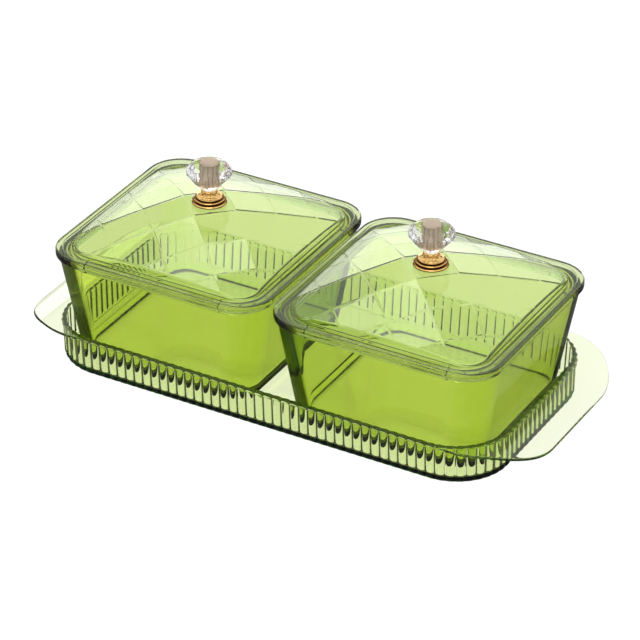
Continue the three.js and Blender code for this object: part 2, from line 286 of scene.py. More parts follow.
def offset_ring(outline, inset, z):
    """The outline moved inwards by inset, at height z (a number or one per point)."""
    points, normals = outline
    flat = points - normals * np.reshape(inset, (-1, 1) if np.ndim(inset) else ())
    return np.column_stack([flat, np.broadcast_to(z, len(flat))])


def arc_levels(start_inset, start_z, end_inset, end_z, steps, start_level):
    """Inset and height pairs along a quarter round. It leaves the start level, or upright."""
    pairs = []
    for step in range(steps + 1):
        angle = math.pi / 2 * step / steps
        along, across = math.sin(angle), 1 - math.cos(angle)
        if not start_level:
            along, across = across, along
        pairs.append((start_inset + (end_inset - start_inset) * along,
                      start_z + (end_z - start_z) * across))
    return pairs


def add_object(name, data):
    """Puts a mesh or a camera in the scene."""
    added = bpy.data.objects.new(name, data)
    bpy.context.scene.collection.objects.link(added)
    return added


def add_bmesh(name, mesh):
    """Puts a finished bmesh in the scene."""
    data = bpy.data.meshes.new(name)
    mesh.to_mesh(data)
    mesh.free()
    return add_object(name, data)


def skin(name, rings):
    """A closed, smooth mesh through rings of equal length, with flat caps at both ends."""
    count = len(rings[0])
    vertices = np.concatenate(rings)
    faces = [list(range(count))[::-1]]
    for level in range(len(rings) - 1):
        low, high = level * count, (level + 1) * count
        for i in range(count):
            j = (i + 1) % count
            faces.append([low + i, low + j, high + j, high + i])
    last = (len(rings) - 1) * count
    faces.append([last + i for i in range(count)])
    mesh = bpy.data.meshes.new(name)
    mesh.from_pydata(vertices.tolist(), [], faces)
    mesh.polygons.foreach_set("use_smooth", [True] * len(mesh.polygons))
    return add_object(name, mesh)


def face_outwards(piece):
    """Turns every face of a closed piece outwards."""
    work = bmesh.new()
    work.from_mesh(piece.data)
    bmesh.ops.recalc_face_normals(work, faces=work.faces)
    work.to_mesh(piece.data)
    work.free()


# ---------------------------------------------------------------- tray

def tray_outline(half_x, half_y, radius, count):
    """A rounded rectangle sampled evenly along its length from the middle of its +X side."""
    straight_y = 2 * (half_y - radius)
    straight_x = 2 * (half_x - radius)
    arc = math.pi / 2 * radius
    total = 2 * (straight_x + straight_y) + 4 * arc
    points, normals = [], []
    for i in range(count):
        along = (total * i / count + straight_y / 2) % total
        for corner in range(4):
            straight = straight_y if corner % 2 == 0 else straight_x
            if along < straight + arc:
                break
            along -= straight + arc
        turn = corner * math.pi / 2
        bend = max(0.0, along - straight) / radius
        normal = (math.cos(turn + bend), math.sin(turn + bend))
        sign_x = 1 if corner in (0, 3) else -1
        sign_y = 1 if corner < 2 else -1
        centre = (sign_x * (half_x - radius), sign_y * (half_y - radius))
        back = max(0.0, straight - along)
        points.append((centre[0] + radius * normal[0] + back * math.sin(turn),
                       centre[1] + radius * normal[1] - back * math.cos(turn)))
        normals.append(normal)
    return np.array(points), np.array(normals)


def flute_profile(count, depth):
    """Set-back of round flutes of that depth: 0 on a crest, depth in the groove between two."""
    phase = (np.arange(count) % FLUTE_SAMPLES) / FLUTE_SAMPLES * 2 - 1
    radius = (FLUTE_HALF_WIDTH ** 2 + depth ** 2) / (2 * depth)
    return radius - np.sqrt(radius ** 2 - (phase * FLUTE_HALF_WIDTH) ** 2)


def ear_drop(x):
    """How far the flange has curved down at x."""
    share = np.clip((np.abs(x) - EAR_START) / (TRAY_TIP - EAR_START), 0, 1)
    return EAR_DROOP * share ** EAR_CURVE


def wall_plan(wall, z, inset):
    """The wall in plan where it is at height z, moved inwards by an inset for each point."""
    points, normals = wall
    flare = np.array(TRAY_FLARE) * (z / TRAY_TOP)
    return points + normals * flare - normals * inset[:, None]


def wall_ring(wall, z, inset):
    """A level ring of the wall."""
    flat = wall_plan(wall, z, inset)
    return np.column_stack([flat, np.full(len(flat), z)])


def hung_ring(flat, under_top):
    """A ring over points in plan, hung below the flange's curved top."""
    return np.column_stack([flat, TRAY_TOP - ear_drop(flat[:, 0]) - under_top])


def flange_ring(start, flange, share, inset, under_top):
    """A ring a share of the way from the wall's top to the flange's inset edge."""
    points, normals = flange
    return hung_ring(start + (points - normals * inset - start) * share, under_top)


def tray_outside(wall, flutes):
    """Rings from the underside up the fluted wall to the flange."""
    rings = [wall_ring(wall, 0, inset + 0 * flutes) for inset in TRAY_UNDER_INSETS]
    for inset, z in arc_levels(TRAY_FOOT_INSET, 0, 0, TRAY_FOOT_ROUND, 8, True):
        growth = min(1, (z / TRAY_FOOT_ROUND) ** 0.5)
        rings.append(wall_ring(wall, z, inset + flutes * growth))
    for z in TRAY_OUTER_LEVELS:
        rings.append(wall_ring(wall, z, flutes))
    corner = wall_plan(wall, TRAY_TOP, flutes)
    rings.append(hung_ring(corner, FLANGE_THICKNESS + FLANGE_CORNER))
    corner = wall_plan(wall, TRAY_TOP, flutes / 2 - FLANGE_CORNER)
    rings.append(hung_ring(corner, FLANGE_THICKNESS))
    return rings


def flange_rings(start, flange):
    """Rings out under the flange, round its edge and back over it."""
    edge = FLANGE_THICKNESS / 2
    shares = np.linspace(1 / FLANGE_STEPS, 1, FLANGE_STEPS)
    rings = [flange_ring(start, flange, share, edge, FLANGE_THICKNESS) for share in shares]
    for step in range(1, FLANGE_EDGE_STEPS):
        angle = math.pi * step / FLANGE_EDGE_STEPS
        inset = edge * (1 - math.sin(angle))
        rings.append(flange_ring(start, flange, 1, inset, edge * (1 + math.cos(angle))))
    rings += [flange_ring(start, flange, share, edge, 0) for share in shares[::-1]]
    return rings


def tray_inside(wall, flutes):
    """Rings from the flange down the wall's inside to the floor, where the flutes fade out."""
    rings = []
    start = TRAY_WALL - TRAY_RIM_ROUND
    for inset, under in arc_levels(start, 0, TRAY_WALL, TRAY_RIM_ROUND, 4, True):
        rings.append(hung_ring(wall_plan(wall, TRAY_TOP - under, inset + flutes), under))
    for z in TRAY_INNER_LEVELS:
        rings.append(wall_ring(wall, z, TRAY_WALL + flutes))
    round_top = TRAY_FLOOR + TRAY_INNER_ROUND
    floor_inset = TRAY_WALL + TRAY_INNER_ROUND
    for inset, z in arc_levels(TRAY_WALL, round_top, floor_inset, TRAY_FLOOR, 6, False):
        fade = (z - TRAY_FLOOR) / TRAY_INNER_ROUND
        rings.append(wall_ring(wall, z, inset + flutes * fade))
    for inset in TRAY_FLOOR_INSETS:
        rings.append(wall_ring(wall, TRAY_FLOOR, TRAY_WALL + inset + 0 * flutes))
    return rings


def make_tray():
    """The tray as one skin: up the outside, round the flange and down the inside."""
    count = FLUTE_COUNT * FLUTE_SAMPLES
    wall = tray_outline(*TRAY_FOOT, count)
    flange = tray_outline(TRAY_TIP, TRAY_EDGE, FLANGE_RADIUS, count)
    outer = flute_profile(count, FLUTE_DEPTH)
    inner = INNER_FLUTE_STAND - flute_profile(count, INNER_FLUTE_DEPTH)
    rings = tray_outside(wall, outer)
    rings += flange_rings(wall_plan(wall, TRAY_TOP, 0 * outer), flange)
    rings += tray_inside(wall, inner)
    piece = skin("tray_moulding", rings)
    face_outwards(piece)
    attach(piece, "tray")
    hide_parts("tray")
    return piece


# ---------------------------------------------------------------- bowls

def bowl_size(top_half, share):
    """Half-width and corner radius of the bowl's outside, a share of the way up."""
    return (BOWL_FOOT_HALF + (top_half - BOWL_FOOT_HALF) * share,
            BOWL_FOOT_RADIUS + (BOWL_TOP_RADIUS - BOWL_FOOT_RADIUS) * share)


def bowl_levels(foot_z, floor_z, top_z):
    """Inset and height pairs: up the outside, over the rim and down the inside."""
    inner_end = BOWL_WALL + BOWL_INNER_ROUND
    rim_z = top_z - BOWL_RIM_ROUND
    levels = [(BOWL_UNDER_INSET, foot_z), (BOWL_FOOT_ROUND + HOLD, foot_z)]
    levels += arc_levels(BOWL_FOOT_ROUND, foot_z, 0, foot_z + BOWL_FOOT_ROUND, 8, True)
    levels += [(0, foot_z + BOWL_FOOT_ROUND + HOLD), (0, rim_z - HOLD)]
    levels += arc_levels(0, rim_z, BOWL_RIM_ROUND, top_z, 5, False)
    levels += arc_levels(BOWL_WALL - BOWL_RIM_ROUND, top_z, BOWL_WALL, rim_z, 5, True)
    levels += [(BOWL_WALL, rim_z - HOLD), (BOWL_WALL, floor_z + BOWL_INNER_ROUND + HOLD)]
    levels += arc_levels(BOWL_WALL, floor_z + BOWL_INNER_ROUND, inner_end, floor_z, 10, False)
    levels += [(inner_end + HOLD, floor_z), (inner_end + BOWL_FLOOR_INSET, floor_z)]
    return levels


def make_bowl(side):
    node = f"bowl_{side}"
    low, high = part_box(node)
    centre = (low + high) / 2
    foot_z, top_z = low.z, high.z
    floor_z = foot_z + BOWL_FLOOR
    rings = []
    for inset, z in bowl_levels(foot_z, floor_z, top_z):
        half, radius = bowl_size((high.x - low.x) / 2, (z - foot_z) / (top_z - foot_z))
        inside = inset > BOWL_WALL / 2 and z > floor_z - HOLD
        fill = BOWL_WALL + BOWL_CORNER_FILL if inside else 0
        outline = rounded_outline(half - inset, half - inset, radius + fill - inset)
        rings.append(offset_ring(outline, 0, z) + np.array([centre.x, centre.y, 0]))
    piece = skin(f"bowl_{side}_moulding", rings)
    face_outwards(piece)
    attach(piece, node)
    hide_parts(node)
    return piece


# ---------------------------------------------------------------- lids

def crease_table():
    """Places of the creases along a diagonal, and how far the dome has fallen there."""
    places = [crease * FACET_PITCH for crease in DOME_CREASES]
    return [-u for u in places[::-1]] + places, list(DOME_DROP[::-1]) + list(DOME_DROP)


def facet_drop(x, y):
    """How far the faceted outside has fallen: the drops along both diagonals add up."""
    places, drops = crease_table()
    return np.interp(x + y, places, drops) + np.interp(x - y, places, drops)


def side_crossings(half):
    """Where the creases cross one straight side of a square, measured from its middle."""
    places, _ = crease_table()
    found = {round(sign * (place - half), 6) for place in places for sign in (-1, 1)}
    return sorted(along for along in {0.0, *found} if abs(along) < half - DOME_RADIUS - HOLD)


def lid_ring(inset, z, under=False):
    """A ring of the lid, inset from its outer edge, about the lid's own middle. Under the rim,
    its corners follow the lip's rounder ones."""
    wall = LID_HALF - DOME_HALF
    if under:
        lip = LIP_INSET - LIP_CORNER
        places = (0, lip - NARROW_HOLD, lip, wall - RIM_HOLD, wall + LID_WALL)
        radii = (LID_RADIUS, LIP_RADIUS - LIP_SQUARER[0], LIP_RADIUS, LIP_RADIUS - LIP_SQUARER[1],
                 DOME_RADIUS)
        radius = np.interp(inset, places, radii)
    else:
        radius = LID_RADIUS + (DOME_RADIUS - LID_RADIUS) * min(1, inset / wall)
    half = LID_HALF - inset
    outline = rounded_outline(half, half, radius, side_crossings(min(half, DOME_HALF)))
    return offset_ring(outline, 0, z)


def clip(polygon, normal, limit):
    """The part of a convex polygon where normal . point <= limit."""
    kept = []
    for i, here in enumerate(polygon):
        ahead = polygon[(i + 1) % len(polygon)]
        near = normal[0] * here[0] + normal[1] * here[1] - limit
        far = normal[0] * ahead[0] + normal[1] * ahead[1] - limit
        if near <= TINY:
            kept.append(here)
        if min(near, far) < -TINY and max(near, far) > TINY:
            share = near / (near - far)
            kept.append((here[0] + (ahead[0] - here[0]) * share,
                         here[1] + (ahead[1] - here[1]) * share))
    return kept


def facet_polygons(ring):
    """The dome's facets in plan, each cut to the convex ring, apart from the middle one."""
    places, _ = crease_table()
    middle = len(places) // 2 - 1
    polygons = []
    for i in range(len(places) - 1):
        for j in range(len(places) - 1):
            if i == middle and j == middle:
                continue
            polygon = [tuple(point) for point in ring]
            for normal, limit in (((1, 1), places[i + 1]), ((-1, -1), -places[i]),
                                  ((1, -1), places[j + 1]), ((-1, 1), -places[j])):
                if len(polygon) >= 3:
                    polygon = clip(polygon, normal, limit)
            if len(polygon) >= 3:
                polygons.append(polygon)
    return polygons


def add_polygon(mesh, points, height):
    """Adds a face to a bmesh over points in plan. height is a number or a function."""
    corners = []
    for x, y in points:
        z = height(x, y) if callable(height) else height
        corners.append(mesh.verts.new((x, y, z)))
    return mesh.faces.new(corners)


def add_middle(mesh, hole, top_z):
    """Adds the level middle facet: a border, quarters round the hole, and the hole's edge."""
    outer = FACET_PITCH
    inner = FACET_PITCH - FACET_BORDER * math.sqrt(2)
    corners = np.array([(1, 0), (0, 1), (-1, 0), (0, -1)])
    angles = np.round(np.arctan2(hole[:, 1], hole[:, 0]), 6) % round(2 * math.pi, 6)
    order = list(np.argsort(angles))
    wide = hole[:, :2] * HOLE_BORDER
    added = []
    for quarter in range(4):
        here, ahead = corners[quarter], corners[(quarter + 1) % 4]
        border = (here * outer, ahead * outer, ahead * inner, here * inner)
        added.append(add_polygon(mesh, border, top_z))
        low = quarter * math.pi / 2 - ANGLE_SLACK
        high = (quarter + 1) * math.pi / 2 + ANGLE_SLACK
        arc = [i for i in order if low <= angles[i] <= high]
        if quarter == 3:
            arc.append(order[0])
        outline = [here * inner, ahead * inner, *(wide[i] for i in reversed(arc))]
        added.append(add_polygon(mesh, outline, top_z))
    for i, j in zip(order, order[1:] + order[:1]):
        added.append(add_polygon(mesh, (hole[i, :2], wide[i], wide[j], hole[j, :2]), top_z))
    return added


def add_columns(mesh, rings):
    """Joins rings of equal length into a band of four-sided faces."""
    levels = [[mesh.verts.new(point) for point in ring] for ring in rings]
    for lower, upper in zip(levels, levels[1:]):
        for i in range(len(lower)):
            j = (i + 1) % len(lower)
            mesh.faces.new((lower[i], lower[j], upper[j], upper[i]))


def dome_foot_rings(edge, wall, step_z):
    """Rings down the dome's outer wall to the rim's step, with a fillet that shrinks where the
    facets come down close to the step."""
    far = lid_ring(wall - DOME_FILLET, 0)
    room = DOME_FILLET_SHARE * (edge[:, 2] - step_z)
    fillet = np.clip(room, DOME_FILLET_LEAST, DOME_FILLET)
    hold = edge.copy()
    hold[:, 2] -= np.minimum(FACET_BORDER, room)
    rings = [edge, hold]
    for step in range(DOME_FILLET_STEPS + 1):
        angle = math.pi / 2 * step / DOME_FILLET_STEPS
        ring = edge + (far - edge) * (fillet / DOME_FILLET * (1 - math.cos(angle)))[:, None]
        ring[:, 2] = step_z + fillet * (1 - math.sin(angle))
        rings.append(ring)
    return rings


def rim_levels(low, top):
    """Inset and height pairs of the rim, from the dome's foot over the bead and round the
    outer edge to the lip."""
    wall = LID_HALF - DOME_HALF
    step = top - LID_RIM_STEP
    half_step = LID_RIM_STEP / 2
    bead = LID_RIM_BEAD
    bead_middle = bead + BEAD_ROUND
    bead_foot = bead_middle + BEAD_ROUND
    levels = [(wall - DOME_FILLET - WIDE_HOLD, step), (bead_foot + WIDE_HOLD, step)]
    levels += arc_levels(bead_foot, step, bead_middle, step + half_step, 3, True)
    levels += arc_levels(bead_middle, top - half_step, bead, top, 3, False)[1:]
    levels += [(bead - WIDE_HOLD, top), (LID_RIM_EDGE + RIM_HOLD, top)]
    levels += arc_levels(LID_RIM_EDGE, top, 0, top - LID_RIM_EDGE, 6, True)
    levels += [(0, top - LID_RIM_EDGE - RIM_HOLD), (0, low + LID_RIM_EDGE + RIM_HOLD)]
    levels += arc_levels(0, low + LID_RIM_EDGE, LID_RIM_EDGE, low, 6, False)
    levels += [(LID_RIM_EDGE + RIM_HOLD, low), (LIP_INSET - LIP_CORNER - NARROW_HOLD, low)]
    return levels


def lip_levels(low):
    """Inset and height pairs down the lip's outside, round its foot and up to the dome's inside."""
    foot = low - LIP_DEPTH
    lean = LIP_INSET + LIP_LEAN
    round_top = foot + LIP_FOOT_ROUND
    inner = LIP_INSET + LIP_TAPER + LIP_WALL
    inside = LID_HALF - DOME_HALF + LID_WALL
    levels = arc_levels(LIP_INSET - LIP_CORNER, low, LIP_INSET, low - LIP_CORNER, 3, True)
    levels += [(lean - LIP_LEAN_STEP, round_top + RIM_HOLD)]
    levels += arc_levels(lean, round_top, lean + LIP_FOOT_WIDTH, foot, 4, False)
    levels += arc_levels(inner - LIP_EDGE, foot, inner, foot + LIP_EDGE, 3, True)
    levels += [(inner, foot + LIP_EDGE + WIDE_HOLD), (inner, low - LIP_EDGE - RIM_HOLD)]
    levels += arc_levels(inner, low - LIP_EDGE, inner + LIP_EDGE, low, 3, False)
    levels += [(inner + LIP_EDGE + RIM_HOLD, low), (inside - LIP_EDGE - NARROW_HOLD, low)]
    levels += arc_levels(inside - LIP_EDGE, low, inside, low + LIP_EDGE, 3, True)
    levels += [(inside, low + LIP_EDGE + WIDE_HOLD)]
    return levels


def dome_edge(inset, top_z):
    """The ring where the dome's facets meet its upright wall."""
    ring = lid_ring(inset, 0)
    ring[:, 2] = top_z - facet_drop(ring[:, 0], ring[:, 1])
    return ring


def lid_mesh(low_z, top_z):
    """The lid as a bmesh about its own middle. Also lists the faces of its sloping facets, and
    those of the level ones in the middle, outside and inside."""
    rim_low = low_z + LIP_DEPTH
    rim_top = rim_low + LID_RIM_HEIGHT
    wall = LID_HALF - DOME_HALF
    inner_z = top_z - LID_WALL
    edge = dome_edge(wall, top_z)
    inner = dome_edge(wall + LID_WALL, inner_z)
    rings = dome_foot_rings(edge, wall, rim_top - LID_RIM_STEP)
    rings += [lid_ring(inset, z, z < rim_low + LID_RIM_HEIGHT / 2)
              for inset, z in rim_levels(rim_low, rim_top) + lip_levels(rim_low)]
    rings += [inner - np.array((0, 0, FACET_BORDER)), inner]
    directions = edge[:, :2] / np.linalg.norm(edge[:, :2], axis=1)[:, None]
    hole = [np.column_stack([HOLE_RADIUS * directions, np.full(len(edge), z)])
            for z in (top_z, inner_z)]

    mesh = bmesh.new()
    facets, middle = [], []
    add_columns(mesh, rings)
    add_columns(mesh, hole)
    for ring, hole_ring, face_z in ((edge, hole[0], top_z), (inner, hole[1], inner_z)):
        for polygon in facet_polygons(ring[:, :2]):
            facets.append(add_polygon(mesh, polygon, lambda x, y: face_z - float(facet_drop(x, y))))
        middle += add_middle(mesh, hole_ring, face_z)
    bmesh.ops.remove_doubles(mesh, verts=mesh.verts, dist=MERGE_DISTANCE)
    return mesh, facets, middle


def round_creases(mesh, facets, middle):
    """Gives each sloping facet a border that holds its shading flat, and rounds the creases."""
    borders = bmesh.ops.inset_individual(mesh, faces=facets, thickness=FACET_BORDER,
                                         use_even_offset=True)["faces"]
    bmesh.ops.recalc_face_normals(mesh, faces=mesh.faces)
    panes = {*facets, *middle, *borders}
    creases = [link for link in mesh.edges
               if link.calc_face_angle(0) > math.radians(CREASE_LEAST)
               and all(face in panes for face in link.link_faces)]
    bmesh.ops.bevel(mesh, geom=creases, offset=CREASE_ROUND, segments=2, affect="EDGES",
                    clamp_overlap=True)
    for face in mesh.faces:
        face.smooth = True


def make_lid(side):
    node = f"lid_{side}"
    low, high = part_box(node)
    centre = (low + high) / 2
    mesh, facets, middle = lid_mesh(low.z, high.z)
    round_creases(mesh, facets, middle)
    bmesh.ops.translate(mesh, verts=mesh.verts, vec=(centre.x, centre.y, 0))
    piece = add_bmesh(f"lid_{side}_moulding", mesh)
    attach(piece, node)
    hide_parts(node)
    return piece


# ---------------------------------------------------------------- knobs

def knob_levels():
    """Radius and height pairs up the base's profile, in millimetres."""
    levels = []
    for start, end in zip(KNOB_PROFILE, KNOB_PROFILE[1:]):
        radius, height, steps, hollow = start
        for step in range(steps):
            across = along = step / steps
            if hollow:
                across = 1 - math.cos(step / steps * math.pi / 2)
                along = math.sin(step / steps * math.pi / 2)
            levels.append((radius + (end[0] - radius) * across, height + (end[1] - height) * along))
    levels.append(KNOB_PROFILE[-1][:2])
    return levels


def make_knob_base(side):
    """The turned base. Its neck has upright notches all round."""
    node = f"knob_base_{side}"
    low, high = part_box(node)
    centre = (low + high) / 2
    angles = np.arange(KNOB_SIDES) * 2 * math.pi / KNOB_SIDES
    waves = np.cos(angles * NOTCH_COUNT) * NOTCH_SHARPNESS
    notches = np.clip(waves - (NOTCH_SHARPNESS - 1), 0, 1)
    rings = []
    for radius, height in knob_levels():
        depth = NOTCH_DEPTH * min(1, max(0, (height - NOTCH_START) / NOTCH_RUN))
        reach = (radius - depth * notches) * MM
        rings.append(np.column_stack([centre.x + reach * np.cos(angles),
                                      centre.y + reach * np.sin(angles),
                                      np.full(KNOB_SIDES, low.z + height * MM)]))
    piece = skin(f"knob_base_{side}_turning", rings)
    face_outwards(piece)
    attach(piece, f"lid_{side}")
    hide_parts(node)
    return piece


def crystal_points(centre, low_z):
    """The stone's corners, level by level from the foot up to the table."""
    levels = []
    for radius, height, sides, offset in CRYSTAL_LEVELS:
        ring = []
        for i in range(sides):
            angle = (i + offset) * 2 * math.pi / sides
            ring.append(Vector((centre.x + radius * MM * math.cos(angle),
                                centre.y + radius * MM * math.sin(angle),
                                low_z + height * MM)))
        levels.append(ring)
    return levels


def cut_socket(mesh, centre):
    """Sinks a socket into the stone from its lowest face, wider at its far end. A ring of
    corners marks where its gilding starts."""
    foot = min(mesh.faces, key=lambda face: face.calc_center_median().z)
    bmesh.ops.inset_individual(mesh, faces=[foot], thickness=SOCKET_INSET)
    mouth = foot.verts[:]
    levels = [mouth]
    for depth in (GILDED_START, SOCKET_DEPTH):
        spread = 1 + (SOCKET_FLARE - 1) * depth / SOCKET_DEPTH
        levels.append([mesh.verts.new((centre.x + (vert.co.x - centre.x) * spread,
                                       centre.y + (vert.co.y - centre.y) * spread,
                                       vert.co.z + depth)) for vert in mouth])
    bmesh.ops.delete(mesh, geom=[foot], context="FACES_ONLY")
    for near, far in zip(levels, levels[1:]):
        for i in range(len(mouth)):
            j = (i + 1) % len(mouth)
            mesh.faces.new((near[i], near[j], far[j], far[i]))
    mesh.faces.new(levels[-1])


def make_crystal(side):
    """The stone: the hull of its corners, with every edge bevelled, and the socket."""
    node = f"knob_crystal_{side}"
    low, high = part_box(node)
    centre = (low + high) / 2
    mesh = bmesh.new()
    for ring in crystal_points(centre, low.z):
        for point in ring:
            mesh.verts.new(point)
    bmesh.ops.convex_hull(mesh, input=mesh.verts)
    flat = [edge for edge in mesh.edges if edge.calc_face_angle(0) < math.radians(CRYSTAL_FLAT)]
    bmesh.ops.dissolve_edges(mesh, edges=flat, use_verts=False)
    bmesh.ops.bevel(mesh, geom=mesh.edges[:], offset=CRYSTAL_EDGE, segments=1, affect="EDGES",
                    clamp_overlap=True)
    cut_socket(mesh, centre)
    bmesh.ops.recalc_face_normals(mesh, faces=mesh.faces)
    piece = add_bmesh(f"knob_crystal_{side}_cut", mesh)
    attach(piece, f"lid_{side}")
    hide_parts(node)
    return piece


# ---------------------------------------------------------------- materials

def new_material(name):
    """A node material, with its nodes, its links and its shader."""
    material = bpy.data.materials.new(name)
    material.use_nodes = True
    nodes = material.node_tree.nodes
    return material, nodes, material.node_tree.links, nodes["Principled BSDF"]


def add_noise(nodes, links, scale, detail):
    """A noise texture in object space, which runs on from piece to piece."""
    place = nodes.new("ShaderNodeTexCoord")
    noise = nodes.new("ShaderNodeTexNoise")
    noise.inputs["Scale"].default_value = scale
    noise.inputs["Detail"].default_value = detail
    links.new(place.outputs["Object"], noise.inputs["Vector"])
    return noise.outputs["Fac"]


def ranged(nodes, links, value, low, high):
    """Maps a 0 to 1 value to the range low to high."""
    spread = nodes.new("ShaderNodeMapRange")
    spread.inputs["To Min"].default_value = low
    spread.inputs["To Max"].default_value = high
    links.new(value, spread.inputs["Value"])
    return spread.outputs["Result"]


def mixed_colour(nodes, links, value, first, second):
    """A colour between two, by a 0 to 1 value."""
    mix = nodes.new("ShaderNodeMix")
    mix.data_type = "RGBA"
    mix.inputs[6].default_value = (*first, 1)
    mix.inputs[7].default_value = (*second, 1)
    links.new(value, mix.inputs[0])
    return mix.outputs[2]


def add_bump(nodes, links, shader, value, distance):
    """Bumps of that height on the shader's surface."""
    bump = nodes.new("ShaderNodeBump")
    bump.inputs["Strength"].default_value = 1.0
    bump.inputs["Distance"].default_value = distance
    links.new(value, bump.inputs["Height"])
    links.new(bump.outputs["Normal"], shader.inputs["Normal"])


def maths(nodes, links, operation, first, second=None):
    """The result of a Math node. Its inputs are numbers or sockets."""
    node = nodes.new("ShaderNodeMath")
    node.operation = operation
    for socket, value in zip(node.inputs, (first, second)):
        if value is None:
            continue
        if isinstance(value, (int, float)):
            socket.default_value = value
        else:
            links.new(value, socket)
    return node.outputs[0]


def soft_window(nodes, links, value, middle, half, edge):
    """1 where value is within half of the middle, falling to 0 over the soft edge."""
    away = maths(nodes, links, "ABSOLUTE", maths(nodes, links, "SUBTRACT", value, middle))
    window = nodes.new("ShaderNodeMapRange")
    window.interpolation_type = "SMOOTHSTEP"
    window.inputs["From Min"].default_value = half + edge
    window.inputs["From Max"].default_value = half
    window.inputs["To Min"].default_value = 0
    window.inputs["To Max"].default_value = 1
    links.new(away, window.inputs["Value"])
    return window.outputs["Result"]


def clear_plastic(name, per_mm, tints, ior, roughness, ripple):
    """Clear moulded plastic. per_mm is the share of red, green and blue that one millimetre
    lets through, or None where it takes nothing; ripple is the height of the slow waves."""
    material, nodes, links, shader = new_material(name)
    shader.inputs["Transmission Weight"].default_value = 1.0
    shader.inputs["IOR"].default_value = ior
    slow = add_noise(nodes, links, *PLASTIC_SLOW)
    fine = add_noise(nodes, links, *PLASTIC_FINE)
    links.new(mixed_colour(nodes, links, slow, *tints), shader.inputs["Base Color"])
    links.new(ranged(nodes, links, fine, *roughness), shader.inputs["Roughness"])
    add_bump(nodes, links, shader, slow, ripple)
    if per_mm is None:
        return material
    loss = [-math.log(share) / MM for share in per_mm]
    absorption = nodes.new("ShaderNodeVolumeAbsorption")
    density = ABSORPTION_SPREAD * max(loss)
    absorption.inputs["Color"].default_value = (*[1 - value / density for value in loss], 1)
    absorption.inputs["Density"].default_value = density
    output = nodes["Material Output"]
    links.new(absorption.outputs["Volume"], output.inputs["Volume"])
    return material


def gild_socket(material, centre_x, low_z):
    """Gilds the socket inside each crystal, with stripes of painted light and shade round its side
    in place of flutes. It is found by its place: near the axis of either knob, and between the
    heights where the gilding starts and the socket ends."""
    nodes, links = material.node_tree.nodes, material.node_tree.links
    shader = nodes["Principled BSDF"]
    place = nodes.new("ShaderNodeTexCoord")
    parts = nodes.new("ShaderNodeSeparateXYZ")
    links.new(place.outputs["Object"], parts.inputs[0])
    across = maths(nodes, links, "ABSOLUTE", parts.outputs["X"])
    across = maths(nodes, links, "SUBTRACT", across, centre_x)
    squares = [maths(nodes, links, "MULTIPLY", value, value)
               for value in (across, parts.outputs["Y"])]
    radius = maths(nodes, links, "SQRT", maths(nodes, links, "ADD", *squares))
    near = maths(nodes, links, "LESS_THAN", radius, GILDED_RADIUS)
    below = maths(nodes, links, "LESS_THAN", parts.outputs["Z"], low_z + SOCKET_DEPTH + HOLD)
    above = maths(nodes, links, "GREATER_THAN", parts.outputs["Z"], low_z + GILDED_START)
    gilded = maths(nodes, links, "MULTIPLY", near, maths(nodes, links, "MULTIPLY", below, above))
    # Painted light and shade: stripes round the socket's side stand in for flutes
    angle = maths(nodes, links, "ARCTAN2", parts.outputs["Y"], across)
    wave = maths(nodes, links, "SINE", maths(nodes, links, "MULTIPLY", angle, SOCKET_STRIPES))
    side = maths(nodes, links, "LESS_THAN", parts.outputs["Z"], low_z + SOCKET_DEPTH - HOLD)
    painted_flute_shade = maths(nodes, links, "MAXIMUM", maths(nodes, links, "MULTIPLY", wave, side), 0)
    gold = mixed_colour(nodes, links, painted_flute_shade, *GILDING_AND_FLUTE_SHADE)
    colour = mixed_colour(nodes, links, gilded, CLEAR_TINTS[0], GILDING_AND_FLUTE_SHADE[0])
    links.new(gold, colour.node.inputs[7])
    links.new(colour, shader.inputs["Base Color"])
    links.new(maths(nodes, links, "MULTIPLY", gilded, GILDING_METAL), shader.inputs["Metallic"])
    links.new(maths(nodes, links, "SUBTRACT", 1, gilded), shader.inputs["Transmission Weight"])


def polished_metal(name, colours, roughness, scale, dark_heights=()):
    """Polished metal. Round the dark heights, the grooves get painted shade: a darker base colour
    in place of the shade that falls in them.
    """
    material, nodes, links, shader = new_material(name)
    shader.inputs["Metallic"].default_value = 1.0
    slow = add_noise(nodes, links, scale, METAL_SLOW_DETAIL)
    fine = add_noise(nodes, links, scale * METAL_FINE[0], METAL_FINE[1])
    colour = mixed_colour(nodes, links, slow, *colours)
    if dark_heights:
        place = nodes.new("ShaderNodeTexCoord")
        parts = nodes.new("ShaderNodeSeparateXYZ")
        links.new(place.outputs["Object"], parts.inputs[0])
        windows = [soft_window(nodes, links, parts.outputs["Z"], height, GROOVE_HALF, GROOVE_HALF)
                   for height in dark_heights]
        share = maths(nodes, links, "MAXIMUM", *windows)
        # Painted shade: the base colour turns dark round the grooves' heights
        groove_shaded = mixed_colour(nodes, links, share, colours[0], GROOVE_PAINTED_SHADE)
        links.new(colour, groove_shaded.node.inputs[6])
        colour = groove_shaded
    links.new(colour, shader.inputs["Base Color"])
    links.new(ranged(nodes, links, fine, *roughness), shader.inputs["Roughness"])
    add_bump(nodes, links, shader, fine, METAL_BUMP)
    return material


